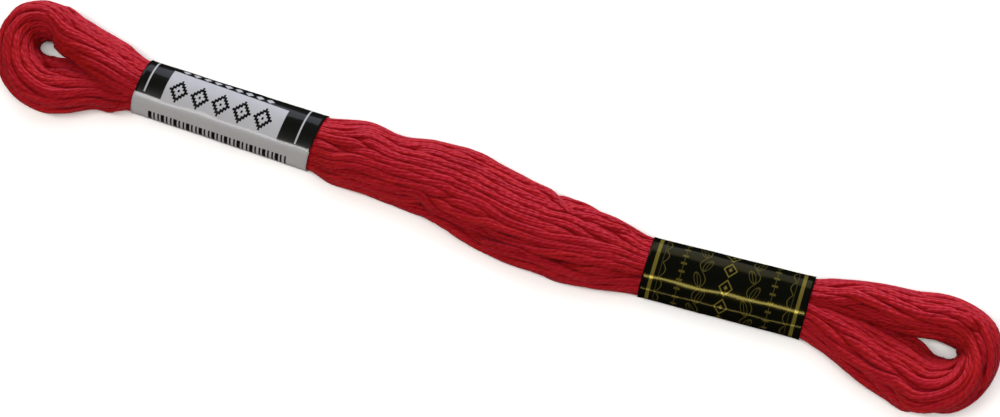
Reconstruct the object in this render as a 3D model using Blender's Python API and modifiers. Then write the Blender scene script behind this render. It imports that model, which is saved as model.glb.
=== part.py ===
"""Skein of six-strand embroidery floss, lying on a table.

The floss is wound into one long hank of 24 turns. Two paper bands hold it, a number band near one end
and a maker's band near the other, and the turns open into an eye past each band. The hank is one
solid of that wound form with its main twists; the bands are thin tubes around it.

Frame: +X runs along the skein towards the wide eye, +Z is up, and Z = 0 is the table.
"""

import math
from typing import NamedTuple

import bmesh
import bpy
import numpy as np

MM = 0.001

# Driving dimensions, in millimetres. The skein is 175 long.
STEP = 2.4  # between two sections of a loft
CORDS_BODY = 9  # main twists round the body of the hank
CORDS_EYE = 6  # main twists round the thinner strand of an eye
SIDES_PER_CORD = 4
GROOVE = 0.55  # depth between two main twists
BODY_TURN = math.radians(75)  # how far the twists turn from end to end of the body
EYE_TURN = math.radians(110)  # and from end to end of an eye's strand
PAPER = 0.4  # wall of a band
CLEARANCE = 0.4  # between a band and the floss in it, a little less at the facets
BAND_SIDES = 40
TABLE = 0.0


class Section(NamedTuple):
    """A section of a strand of floss: the middle of it in plan, half its width, and its two heights."""

    x: float
    y: float
    half_width: float
    bottom: float
    top: float


class Band(NamedTuple):
    """A paper band: its two ends along X, their middles in Y, and half its width and its height there."""

    start: float
    end: float
    start_y: float
    end_y: float
    start_half_width: float
    end_half_width: float
    start_height: float
    end_height: float


NUMBER_BAND = Band(-62.6, -31.1, 4.5, 3.0, 4.8, 5.05, 8.1, 8.1)
MAKERS_BAND = Band(27.65, 55.1, -2.25, -1.85, 5.4, 5.5, 7.1, 8.2)


def inside(band, x, lengthwise=0.0):
    """The hank's section inside a band at a given x, clear of the paper by CLEARANCE."""
    share = (x - band.start) / (band.end - band.start)
    less = PAPER + CLEARANCE
    return Section(
        x + lengthwise,
        band.start_y + share * (band.end_y - band.start_y),
        band.start_half_width
        + share * (band.end_half_width - band.start_half_width)
        - less,
        less,
        band.start_height + share * (band.end_height - band.start_height) - less,
    )


# The body of the hank, from the fork of the narrow eye to the fork of the wide one.
BODY = (
    Section(-70.5, 4.8, 2.4, 1.8, 5.4),
    Section(-66.0, 4.7, 4.4, 0.9, 7.0),
    inside(NUMBER_BAND, NUMBER_BAND.start, -1.0),
    inside(NUMBER_BAND, NUMBER_BAND.start + 2.0),
    inside(NUMBER_BAND, NUMBER_BAND.end - 2.0),
    inside(NUMBER_BAND, NUMBER_BAND.end, 1.0),
    Section(-28.0, 2.6, 5.7, 0.1, 8.6),
    Section(-24.0, 2.8, 6.2, -0.2, 9.2),
    Section(-17.5, 2.3, 6.0, -0.2, 9.0),
    Section(-11.0, 2.4, 7.0, -0.2, 8.9),
    Section(-6.5, 1.9, 7.7, -0.2, 8.8),
    Section(2.5, -0.2, 7.9, -0.2, 8.7),
    Section(12.5, -1.5, 7.6, -0.2, 8.6),
    Section(22.0, -2.0, 6.2, 0.0, 8.3),
    inside(MAKERS_BAND, MAKERS_BAND.start, -1.0),
    inside(MAKERS_BAND, MAKERS_BAND.start + 2.0),
    inside(MAKERS_BAND, MAKERS_BAND.end - 2.0),
    inside(MAKERS_BAND, MAKERS_BAND.end, 1.0),
    Section(58.5, -1.5, 5.3, 0.7, 7.4),
    Section(63.0, -1.8, 4.8, 1.0, 7.0),
    Section(68.0, -1.9, 3.6, 1.2, 6.4),
    Section(72.5, -1.7, 2.4, 1.8, 5.4),
)

# The strand round each eye, from inside the body out along the far side and back along the near one.
NARROW_EYE = (
    Section(-58.5, 5.4, 2.3, 1.6, 6.6),
    Section(-62.0, 5.9, 2.5, 1.2, 7.0),
    Section(-66.0, 7.2, 3.0, 0.8, 8.0),
    Section(-71.0, 8.8, 3.3, 0.9, 8.6),
    Section(-76.0, 10.3, 3.4, 0.9, 9.0),
    Section(-81.5, 10.7, 3.3, 0.6, 9.2),
    Section(-85.0, 7.7, 2.8, 0.2, 9.2),
    Section(-84.8, 3.5, 2.9, -0.2, 9.0),
    Section(-82.4, 0.8, 3.4, -0.2, 8.4),
    Section(-78.8, -0.5, 3.9, -0.2, 7.6),
    Section(-74.5, -0.1, 3.8, -0.2, 7.3),
    Section(-69.5, 1.4, 3.4, -0.2, 7.3),
    Section(-65.0, 2.3, 2.9, 0.3, 7.3),
    Section(-62.0, 2.9, 2.5, 1.0, 7.0),
    Section(-58.5, 3.3, 2.3, 1.6, 6.6),
)
WIDE_EYE = (
    Section(51.5, -0.5, 2.3, 1.6, 6.4),
    Section(55.5, 0.2, 2.5, 1.2, 6.8),
    Section(59.5, 1.5, 3.3, 0.6, 8.0),
    Section(65.0, 2.4, 3.8, 0.4, 8.6),
    Section(72.0, 3.0, 4.0, 0.4, 9.2),
    Section(78.3, 3.0, 4.1, 0.4, 9.6),
    Section(82.9, 0.6, 3.8, 0.2, 9.6),
    Section(84.2, -3.5, 3.5, -0.2, 9.4),
    Section(82.3, -7.6, 4.3, -0.2, 9.0),
    Section(77.5, -9.0, 5.1, -0.2, 8.4),
    Section(72.0, -8.2, 5.2, -0.2, 7.8),
    Section(66.0, -6.2, 4.5, -0.2, 7.5),
    Section(60.0, -4.3, 3.5, 0.2, 7.5),
    Section(55.5, -3.2, 2.8, 1.1, 7.1),
    Section(51.5, -2.8, 2.4, 1.6, 6.6),
)


def smooth_sections(rows, step):
    """Sections about a step apart along a smooth curve through the rows, as an array of their columns."""
    rows = np.array(rows, float)
    chords = np.linalg.norm(np.diff(rows[:, :2], axis=0), axis=1)
    knots = np.concatenate([[0.0], np.cumsum(chords)])
    rise = np.diff(rows, axis=0) / chords[:, None]
    slopes = np.empty_like(rows)
    slopes[0], slopes[-1] = rise[0], rise[-1]
    before, after = chords[:-1, None], chords[1:, None]
    slopes[1:-1] = (after * rise[:-1] + before * rise[1:]) / (before + after)
    at = np.linspace(0.0, knots[-1], 1 + round(knots[-1] / step))
    span = np.clip(np.searchsorted(knots, at, side="right") - 1, 0, len(chords) - 1)
    width = chords[span][:, None]
    t = (at - knots[span])[:, None] / width
    return (
        (2 * t**3 - 3 * t**2 + 1) * rows[span]
        + (t**3 - 2 * t**2 + t) * width * slopes[span]
        + (3 * t**2 - 2 * t**3) * rows[span + 1]
        + (t**3 - t**2) * width * slopes[span + 1]
    )


def twisted_ring(section, across, cords, turn):
    """The points round one section, with a groove between each main twist and the next."""
    x, y, half_width, bottom, top = section
    sides = cords * SIDES_PER_CORD
    points = []
    for k in range(sides):
        angle = turn + math.tau * k / sides
        groove = GROOVE * (0.5 - 0.5 * math.cos(math.tau * k / SIDES_PER_CORD))
        out = (half_width - groove) * math.cos(angle)
        up = ((top - bottom) / 2 - groove) * math.sin(angle)
        points.append((x + out * across[0], y + out * across[1], (top + bottom) / 2 + up))
    return points


def loft(name, rings, closed_ends=True):
    """A mesh object through rings of the same number of points, given in millimetres."""
    bm = bmesh.new()
    loops = [
        [bm.verts.new([c * MM for c in point]) for point in ring] for ring in rings
    ]
    for low, high in zip(loops, loops[1:]):
        for k in range(len(low)):
            after = (k + 1) % len(low)
            bm.faces.new((low[k], low[after], high[after], high[k]))
    if closed_ends:
        bm.faces.new(reversed(loops[0]))
        bm.faces.new(loops[-1])
    bmesh.ops.recalc_face_normals(bm, faces=bm.faces)
    mesh = bpy.data.meshes.new(name)
    bm.to_mesh(mesh)
    bm.free()
    mesh.shade_smooth()
    return bpy.data.objects.new(name, mesh)


def twisted_strand(name, rows, cords, turn):
    """A solid strand of floss through the sections, its main twists turning evenly along it."""
    sections = smooth_sections(rows, STEP)
    along = np.gradient(sections[:, :2], axis=0)
    along /= np.linalg.norm(along, axis=1)[:, None]
    turns = np.linspace(0.0, turn, len(sections))
    rings = [
        twisted_ring(section, (-way[1], way[0]), cords, angle)
        for section, way, angle in zip(sections, along, turns)
    ]
    return loft(name, rings)


def band_ring(x, y, half_width, height):
    """The outer outline of a band: an oval whose lowest part lies flat on the table."""
    sunk = 0.12  # how far the full oval would reach below the table
    middle = (height - sunk) / 2
    ring = []
    for k in range(BAND_SIDES):
        angle = math.tau * (k + 0.5) / BAND_SIDES
        z = middle + (height + sunk) / 2 * math.sin(angle)
        ring.append((x, y + half_width * math.cos(angle), max(z, TABLE)))
    return ring


def paper_band(name, band):
    """A thin tube of paper, open at both ends."""
    rings = [
        band_ring(band.start, band.start_y, band.start_half_width, band.start_height),
        band_ring(band.end, band.end_y, band.end_half_width, band.end_height),
    ]
    tube = loft(name, rings, closed_ends=False)
    wall = tube.modifiers.new("paper thickness", "SOLIDIFY")
    wall.thickness = PAPER * MM
    wall.offset = -1.0
    wall.use_even_offset = True
    return tube


def table_block():
    """A block under the table top, which cuts the resting faces of the hank flat."""
    bpy.ops.mesh.primitive_cube_add(size=1.0)
    block = bpy.context.active_object
    block.name = "table_block"
    depth = 20.0
    block.scale = (260 * MM, 80 * MM, depth * MM)
    block.location = (0.0, 0.0, (TABLE - depth / 2) * MM)
    return block


def combine(target, helper, operation, collection):
    """Adds an exact Boolean with a helper object, which is hidden in the helpers' collection."""
    for owner in list(helper.users_collection):
        owner.objects.unlink(helper)
    collection.objects.link(helper)
    helper.hide_render = True
    helper.display_type = "WIRE"
    step = target.modifiers.new(helper.name, "BOOLEAN")
    step.operation = operation
    step.solver = "EXACT"
    step.object = helper


def material(name, colour, roughness, metallic=0.0):
    """A plain Principled material."""
    made = bpy.data.materials.new(name)
    made.use_nodes = True
    made.diffuse_color = (*colour, 1.0)
    shader = made.node_tree.nodes["Principled BSDF"]
    shader.inputs["Base Color"].default_value = (*colour, 1.0)
    shader.inputs["Roughness"].default_value = roughness
    shader.inputs["Metallic"].default_value = metallic
    return made


def clear_scene():
    """Removes the objects that the scene starts with."""
    for old in list(bpy.data.objects):
        bpy.data.objects.remove(old, do_unlink=True)


def new_collection(name):
    """A collection in the scene."""
    made = bpy.data.collections.new(name)
    bpy.context.scene.collection.children.link(made)
    return made


def main():
    """Builds the hank and its two bands."""
    clear_scene()
    skein = new_collection("embroidery_floss_skein")
    helpers = new_collection("helpers")

    hank = twisted_strand("floss_hank", BODY, CORDS_BODY, BODY_TURN)
    narrow_eye = twisted_strand("narrow_eye", NARROW_EYE, CORDS_EYE, EYE_TURN)
    wide_eye = twisted_strand("wide_eye", WIDE_EYE, CORDS_EYE, EYE_TURN)
    combine(hank, narrow_eye, "UNION", helpers)
    combine(hank, wide_eye, "UNION", helpers)
    combine(hank, table_block(), "DIFFERENCE", helpers)
    hank.data.materials.append(material("crimson cotton", (0.48, 0.015, 0.03), 0.75))

    number_band = paper_band("number_band", NUMBER_BAND)
    number_band.data.materials.append(material("white gloss paper", (0.8, 0.8, 0.79), 0.3))
    makers_band = paper_band("makers_band", MAKERS_BAND)
    makers_band.data.materials.append(material("black gloss paper", (0.01, 0.01, 0.01), 0.25))

    for piece in (hank, number_band, makers_band):
        skein.objects.link(piece)


main()
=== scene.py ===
"""Looks of a skein of six-strand embroidery floss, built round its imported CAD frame.

The hank is laid turn by turn. Every turn of floss is a closed loop: down the far half of the hank,
round the narrow eye, back along the near half and round the wide eye. The turns start in a loose
pattern and are then pushed apart until they lie beside and on each other, inside the paper bands, on
the table and within the hank's outline. Each turn then opens into its six plies, which twist slowly
round each other and are pushed apart in the same way. The two paper bands are flat printed strips,
wrapped round the hank with a lap under it. Some of the studio's lamps light only the floss, the bands
or the floor. Layout is in millimetres, and meshes are in metres.
"""

from __future__ import annotations

import logging
import math
from dataclasses import dataclass, field
from enum import Enum
from functools import reduce
from typing import NamedTuple, Union

import bmesh
import bpy
import numpy as np
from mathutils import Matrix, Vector


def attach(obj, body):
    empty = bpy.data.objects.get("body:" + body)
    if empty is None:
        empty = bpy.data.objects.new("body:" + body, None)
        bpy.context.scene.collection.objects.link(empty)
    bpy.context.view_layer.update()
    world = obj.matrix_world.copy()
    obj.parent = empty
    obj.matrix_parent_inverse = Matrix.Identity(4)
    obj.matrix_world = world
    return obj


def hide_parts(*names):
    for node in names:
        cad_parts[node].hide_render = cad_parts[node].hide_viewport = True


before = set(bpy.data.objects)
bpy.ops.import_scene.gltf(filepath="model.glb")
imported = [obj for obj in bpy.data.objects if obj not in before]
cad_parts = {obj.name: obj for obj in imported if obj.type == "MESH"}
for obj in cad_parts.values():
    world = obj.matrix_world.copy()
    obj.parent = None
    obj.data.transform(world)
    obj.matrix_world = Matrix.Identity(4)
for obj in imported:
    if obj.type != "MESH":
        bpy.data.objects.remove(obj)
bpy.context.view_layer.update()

MM = 0.001
LOG = logging.getLogger("skein")


# ---------------------------------------------------------------------------------------------
# Layout tables, in millimetres


class Section(NamedTuple):
    """A section of the hank.

    Attributes:
        x: Its middle along the skein.
        y: Its middle across the skein.
        half_width: Half its width.
        bottom: Its lowest height.
        top: Its highest height.
        lean: How far its top leans outwards for each millimetre of height.
    """

    x: float
    y: float
    half_width: float
    bottom: float
    top: float
    lean: float = 0.0


class BandPlan(NamedTuple):
    """A paper band.

    Attributes:
        start: Where it starts along X.
        end: Where it ends.
        start_y: Its middle in Y at its start.
        end_y: Its middle in Y at its end.
        start_half_width: Half its width at its start.
        end_half_width: Half its width at its end.
        start_height: Its height at its start.
        end_height: Its height at its end.
        slip: How far its far side is slipped along X for each millimetre across.
        start_turn: How far it is turned over towards its far side at its start, in degrees.
    """

    start: float
    end: float
    start_y: float
    end_y: float
    start_half_width: float
    end_half_width: float
    start_height: float
    end_height: float
    slip: float = 0.0
    start_turn: float = 0.0

    def at(self, share: float) -> tuple[float, float, float]:
        """The band's middle in Y, half its width and its height at a share of its length.

        Args:
            share: How far along the band, from 0 to 1; it may lie a little outside.

        Returns:
            The three measures.
        """
        middle = self.start_y + share * (self.end_y - self.start_y)
        half = self.start_half_width + share * (self.end_half_width - self.start_half_width)
        height = self.start_height + share * (self.end_height - self.start_height)
        return middle, half, height


class Place(NamedTuple):
    """How far the floss has turned over at a place, in degrees.

    Attributes:
        at: Millimetres along the skein, or degrees round the end of an eye.
        roll: The turn, from outwards towards the top.
    """

    at: float
    roll: float


class Half(Enum):
    """The two halves of the hank, with the sign of the level direction away from its inside."""

    FAR = 1.0
    NEAR = -1.0


NUMBER_BAND = BandPlan(-62.6, -31.1, 4.5, 3.0, 4.8, 5.05, 8.1, 8.1, slip=0.09)
MAKERS_BAND = BandPlan(27.65, 55.1, -2.25, -1.85, 5.38, 5.5, 7.1, 8.2, start_turn=3.0)
PAPER = 0.15  # thickness of the bands' paper
PLY_SHIFT = 1000.0  # each ply starts its own thousand millimetres of the lay map
TINY = 1e-6  # keeps a divisor from being 0


def through(band: BandPlan) -> list[Section]:
    """The sections of the space inside a band, from just before it to just after it.

    Args:
        band: The band's plan.

    Returns:
        The sections.
    """
    outside, within = 0.5, 3.0
    places = (band.start - outside, band.start + within, band.end - within, band.end + outside)
    sections = []
    for x in places:
        middle, half, height = band.at((x - band.start) / (band.end - band.start))
        sections.append(Section(x, middle, half - PAPER, PAPER, height - PAPER))
    return sections


# The hank's body between the eyes, with both halves in it.
BODY = (
    Section(-72.0, 5.6, 6.4, 0.0, 8.2),
    Section(-66.0, 4.9, 5.3, 0.0, 8.2),
    *through(NUMBER_BAND),
    Section(-27.5, 2.6, 5.75, 0.0, 8.6),
    Section(-23.5, 2.75, 6.2, 0.0, 9.0),
    Section(-17.5, 2.2, 6.05, 0.0, 8.6),
    Section(-11.0, 2.35, 7.1, 0.0, 8.4),
    Section(-6.5, 1.9, 7.8, 0.0, 8.3),
    Section(2.5, -0.15, 7.8, 0.0, 8.2),
    Section(12.5, -1.45, 7.75, 0.0, 8.3),
    Section(22.0, -2.05, 6.4, 0.0, 8.3),
    *through(MAKERS_BAND),
    Section(58.5, -1.9, 6.35, 0.0, 8.1),
    Section(63.0, -2.4, 7.3, 0.0, 8.2),
)

# The strand round each eye, out along the far side and back along the near one.
NARROW_EYE = (
    Section(-60.0, 5.4, 3.9, 2.4, 7.9, -0.6),
    Section(-66.0, 6.2, 4.2, 1.8, 8.3, -0.6),
    Section(-71.0, 7.65, 4.2, 0.8, 8.7, -0.45),
    Section(-76.0, 9.35, 3.85, 0.5, 9.0, -0.2),
    Section(-82.0, 11.1, 3.5, 0.4, 9.2, 0.0),
    Section(-84.3, 9.95, 3.45, 0.25, 9.2, 0.1),
    Section(-85.2, 7.7, 3.2, 0.1, 9.2, 0.2),
    Section(-84.3, 3.8, 3.7, 0.0, 9.0, 0.3),
    Section(-82.2, 1.5, 4.4, 0.0, 8.5, 0.4),
    Section(-78.8, 0.4, 5.1, 0.0, 7.9, 0.5),
    Section(-74.5, 1.1, 5.0, 0.0, 7.4, 0.6),
    Section(-69.5, 2.35, 3.9, 0.0, 6.7, 0.6),
    Section(-65.0, 2.45, 3.95, 0.0, 5.9, 0.6),
    Section(-60.0, 3.05, 4.0, 0.0, 5.4, 0.6),
)
WIDE_EYE = (
    Section(53.0, 0.4, 2.8, 0.3, 7.7),
    Section(59.5, 1.2, 3.4, 0.3, 8.0, -0.1),
    Section(65.0, 1.9, 3.7, 0.4, 8.6, -0.2),
    Section(72.0, 2.0, 4.1, 0.4, 9.2, -0.25),
    Section(78.3, 2.5, 4.1, 0.4, 9.6, -0.2),
    Section(82.9, 0.6, 3.9, 0.2, 9.6, 0.0),
    Section(84.0, -3.5, 3.5, 0.0, 9.4, 0.1),
    Section(81.9, -7.5, 4.3, 0.0, 9.0, 0.3),
    Section(77.5, -9.35, 5.6, 0.0, 8.4, 0.4),
    Section(72.0, -7.4, 6.3, 0.0, 7.8, 0.4),
    Section(66.0, -6.0, 5.5, 0.0, 7.6, 0.3),
    Section(60.0, -4.5, 4.1, 0.1, 7.6, 0.1),
    Section(53.0, -3.6, 2.8, 0.3, 7.6),
)

# How far the floss has turned over in the hank: along each half, and round the ends of the eyes.
FAR_ROLL = (Place(-79.0, 35.0), Place(-62.0, 0.0), Place(58.0, 0.0), Place(78.0, 50.0))
NARROW_END_ROLL = (Place(0.0, 35.0), Place(180.0, -50.0))
NEAR_ROLL = (
    Place(-79.0, -50.0),
    Place(-70.0, -70.0),
    Place(-62.0, -60.0),
    Place(54.0, 0.0),
    Place(78.0, -40.0),
)
WIDE_END_ROLL = (Place(0.0, -40.0), Place(110.0, 80.0), Place(180.0, 50.0))


def smooth_rows(rows: tuple[Section, ...], step: float) -> np.ndarray:
    """Sections about a step apart along a smooth curve through a table's rows.

    Args:
        rows: The table, in the order in which the floss runs.
        step: The distance between two results.

    Returns:
        One row for each section, with the table's columns.
    """
    table = np.array(rows, float)
    chords = np.linalg.norm(np.diff(table[:, :2], axis=0), axis=1)
    knots = np.concatenate([[0.0], np.cumsum(chords)])
    rise = np.diff(table, axis=0) / chords[:, None]
    slopes = np.empty_like(table)
    slopes[0], slopes[-1] = rise[0], rise[-1]
    before, after = chords[:-1, None], chords[1:, None]
    slopes[1:-1] = (after * rise[:-1] + before * rise[1:]) / (before + after)
    at = np.linspace(0.0, knots[-1], 1 + round(knots[-1] / step))
    span = np.clip(np.searchsorted(knots, at, side="right") - 1, 0, len(chords) - 1)
    width = chords[span][:, None]
    t = (at - knots[span])[:, None] / width
    return (
        (2 * t**3 - 3 * t**2 + 1) * table[span]
        + (t**3 - 2 * t**2 + t) * width * slopes[span]
        + (3 * t**2 - 2 * t**3) * table[span + 1]
        + (t**3 - t**2) * width * slopes[span + 1]
    )


def ease(value: np.ndarray, low: float, high: float) -> np.ndarray:
    """A smooth step of a value.

    Args:
        value: The value.
        low: Where the step is still 0.
        high: Where it has reached 1.

    Returns:
        The step, from 0 to 1.
    """
    t = np.clip((value - low) / (high - low), 0.0, 1.0)
    return t * t * (3.0 - 2.0 * t)


def link(thing: bpy.types.Object) -> bpy.types.Object:
    """Puts an object in the scene and hands it back."""
    bpy.context.scene.collection.objects.link(thing)
    return thing


# ---------------------------------------------------------------------------------------------
# Shader nodes

Socket = bpy.types.NodeSocket
Colour = tuple[float, float, float]
Value = Union[Socket, Colour, float]


class Graph:
    """A hand for laying out the nodes of one tree."""

    def __init__(self, tree: bpy.types.NodeTree) -> None:
        """Keeps the tree that the nodes go in."""
        self.tree = tree

    def feed(self, node: bpy.types.Node, inputs: dict[int | str, Value]) -> None:
        """Fills in some of a node's inputs.

        Args:
            node: The node.
            inputs: What goes into its inputs, by name or number: sockets, numbers or colours.
        """
        for name, value in inputs.items():
            if isinstance(value, Socket):
                self.tree.links.new(value, node.inputs[name])
            elif isinstance(value, tuple):
                node.inputs[name].default_value = (*value, 1.0)
            else:
                node.inputs[name].default_value = value

    def node(self, kind: str, inputs: dict[int | str, Value], **settings: object) -> bpy.types.Node:
        """Adds a node.

        Args:
            kind: The node's type.
            inputs: What goes into its inputs, as feed takes it.
            **settings: The node's own settings.

        Returns:
            The node.
        """
        made = self.tree.nodes.new(kind)
        for name, value in settings.items():
            setattr(made, name, value)
        self.feed(made, inputs)
        return made

    def math(self, operation: str, *values: Value, clamp: bool = False) -> Socket:
        """The result of a Math node.

        Args:
            operation: The node's operation.
            *values: Up to three sockets or numbers.
            clamp: Whether to keep the result between 0 and 1.

        Returns:
            The node's output.
        """
        made = self.node("ShaderNodeMath", dict(enumerate(values)), operation=operation, use_clamp=clamp)
        return made.outputs[0]

    def total(self, *values: Value) -> Socket:
        """The sum of two or more numbers."""
        return reduce(lambda result, value: self.math("ADD", result, value), values)

    def product(self, *values: Value) -> Socket:
        """The product of two or more numbers."""
        return reduce(lambda result, value: self.math("MULTIPLY", result, value), values)

    def most(self, *values: Value) -> Socket:
        """The largest of two or more numbers."""
        return reduce(lambda result, value: self.math("MAXIMUM", result, value), values)

    def less(self, value: Value, taken: Value) -> Socket:
        """A number less another."""
        return self.math("SUBTRACT", value, taken)

    def ratio(self, value: Value, divisor: float) -> Socket:
        """A number over another."""
        return self.math("DIVIDE", value, divisor)

    def rest(self, share: Value) -> Socket:
        """What a share leaves of the whole."""
        return self.math("SUBTRACT", 1.0, share)

    def size(self, value: Value) -> Socket:
        """A number without its sign."""
        return self.math("ABSOLUTE", value)

    def scaled(self, value: Value, factor: float, start: float) -> Socket:
        """A number times a factor plus a start, kept between 0 and 1."""
        return self.math("MULTIPLY_ADD", value, factor, start, clamp=True)

    def repeated(self, value: Value, pitch: float) -> Socket:
        """How far a number is from the middle of its repeat."""
        share = self.less(self.math("FRACT", self.ratio(value, pitch)), 0.5)
        return self.size(self.product(share, pitch))

    def mix(self, factor: Value, first: Value, second: Value) -> Socket:
        """A colour between two colours, the first where the factor is 0."""
        made = self.node("ShaderNodeMix", {0: factor, 6: first, 7: second}, data_type="RGBA")
        return made.outputs[2]

    def blend(self, factor: Value, first: Value, second: Value) -> Socket:
        """A number between two numbers, the first where the factor is 0."""
        made = self.node("ShaderNodeMix", {0: factor, 2: first, 3: second}, data_type="FLOAT")
        return made.outputs[0]

    def vector(self, x: Value = 0.0, y: Value = 0.0, z: Value = 0.0) -> Socket:
        """A vector made of three sockets or numbers."""
        return self.node("ShaderNodeCombineXYZ", {0: x, 1: y, 2: z}).outputs[0]

    def noise(self, vector: Socket, scale: float = 1.0, detail: float = 2.0) -> Socket:
        """Smooth noise between 0 and 1 at a vector."""
        inputs = {"Vector": vector, "Scale": scale, "Detail": detail}
        return self.node("ShaderNodeTexNoise", inputs).outputs["Fac"]

    def bump(self, height: Socket, relief: float) -> Socket:
        """The normal of a surface whose height goes up and down by a relief in millimetres."""
        inputs = {"Height": height, "Strength": 1.0, "Distance": relief * MM}
        return self.node("ShaderNodeBump", inputs).outputs[0]

    def map_axes(self, name: str) -> tuple[Socket, Socket]:
        """Reads a piece's UV map.

        Args:
            name: The map's name.

        Returns:
            Its two coordinates.
        """
        uv = self.node("ShaderNodeUVMap", {}, uv_map=name).outputs[0]
        axes = self.node("ShaderNodeSeparateXYZ", {0: uv})
        return axes.outputs[0], axes.outputs[1]


def new_material(name: str) -> tuple[bpy.types.Material, Graph, bpy.types.Node]:
    """Starts a material.

    Args:
        name: The material's name.

    Returns:
        The material, a hand for its nodes, and its Principled BSDF.
    """
    made = bpy.data.materials.new(name)
    made.use_nodes = True
    return made, Graph(made.node_tree), made.node_tree.nodes["Principled BSDF"]


def new_group(name: str, inputs: dict[str, float], outputs: tuple[str, ...]) -> bpy.types.NodeTree:
    """Starts a shader node group of numbers.

    Args:
        name: The group's name.
        inputs: Its inputs' names and usual values.
        outputs: Its outputs' names.

    Returns:
        The group, with its Group Input and Group Output nodes placed.
    """
    tree = bpy.data.node_groups.new(name, "ShaderNodeTree")
    for label, value in inputs.items():
        socket = tree.interface.new_socket(label, in_out="INPUT", socket_type="NodeSocketFloat")
        socket.default_value = value
    for label in outputs:
        tree.interface.new_socket(label, in_out="OUTPUT", socket_type="NodeSocketFloat")
    tree.nodes.new("NodeGroupInput")
    tree.nodes.new("NodeGroupOutput")
    return tree


@dataclass
class PrintGroups:
    """The node groups that both papers share: a printed stripe, and the paper's own surface.

    Attributes:
        grain_scale: How fine the paper's grain is.
        dent_scale: How fine its soft dents are.
        dent_stretch: How much slower the dents change along the skein than round it.
        tone_scale: How fine the wavering of its colour is.
        stripe: The group that makes a stripe's mask.
        paper: The group that makes the paper's surface.
    """

    grain_scale: float = 9.0
    dent_scale: float = 0.8
    dent_stretch: float = 0.35
    tone_scale: float = 0.5
    stripe: bpy.types.NodeTree = field(init=False)
    paper: bpy.types.NodeTree = field(init=False)

    def __post_init__(self) -> None:
        """Builds each group once."""
        self.stripe = self.build_stripe()
        self.paper = self.build_paper()

    @staticmethod
    def build_stripe() -> bpy.types.NodeTree:
        """Builds a mask that is 1 within a half width of a centre, with a soft edge.

        Returns:
            The group.
        """
        inputs = {"Value": 0.0, "Centre": 0.0, "Half Width": 1.0, "Softness": 0.04}
        tree = new_group("printed_stripe", inputs, ("Mask",))
        graph = Graph(tree)
        given = tree.nodes["Group Input"].outputs
        away = graph.size(graph.less(given["Value"], given["Centre"]))
        past = graph.less(away, given["Half Width"])
        mask = graph.math("SUBTRACT", 0.5, graph.ratio(past, given["Softness"]), clamp=True)
        graph.feed(tree.nodes["Group Output"], {"Mask": mask})
        return tree

    def build_paper(self) -> bpy.types.NodeTree:
        """Builds paper's fine grain and soft dents as a height, and how its colour wavers.

        Returns:
            The group.
        """
        inputs = {"Along": 0.0, "Round": 0.0, "Grain": 0.3, "Dents": 1.0}
        tree = new_group("paper_surface", inputs, ("Height", "Tone"))
        graph = Graph(tree)
        given = tree.nodes["Group Input"].outputs
        place = graph.vector(given["Along"], given["Round"])
        grain = graph.product(graph.noise(place, self.grain_scale, 3.0), given["Grain"])
        stretched = graph.vector(graph.product(given["Along"], self.dent_stretch), given["Round"])
        dents = graph.product(graph.noise(stretched, self.dent_scale, 1.0), given["Dents"])
        tone = graph.noise(place, self.tone_scale, 4.0)
        graph.feed(tree.nodes["Group Output"], {"Height": graph.total(grain, dents), "Tone": tone})
        return tree


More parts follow.
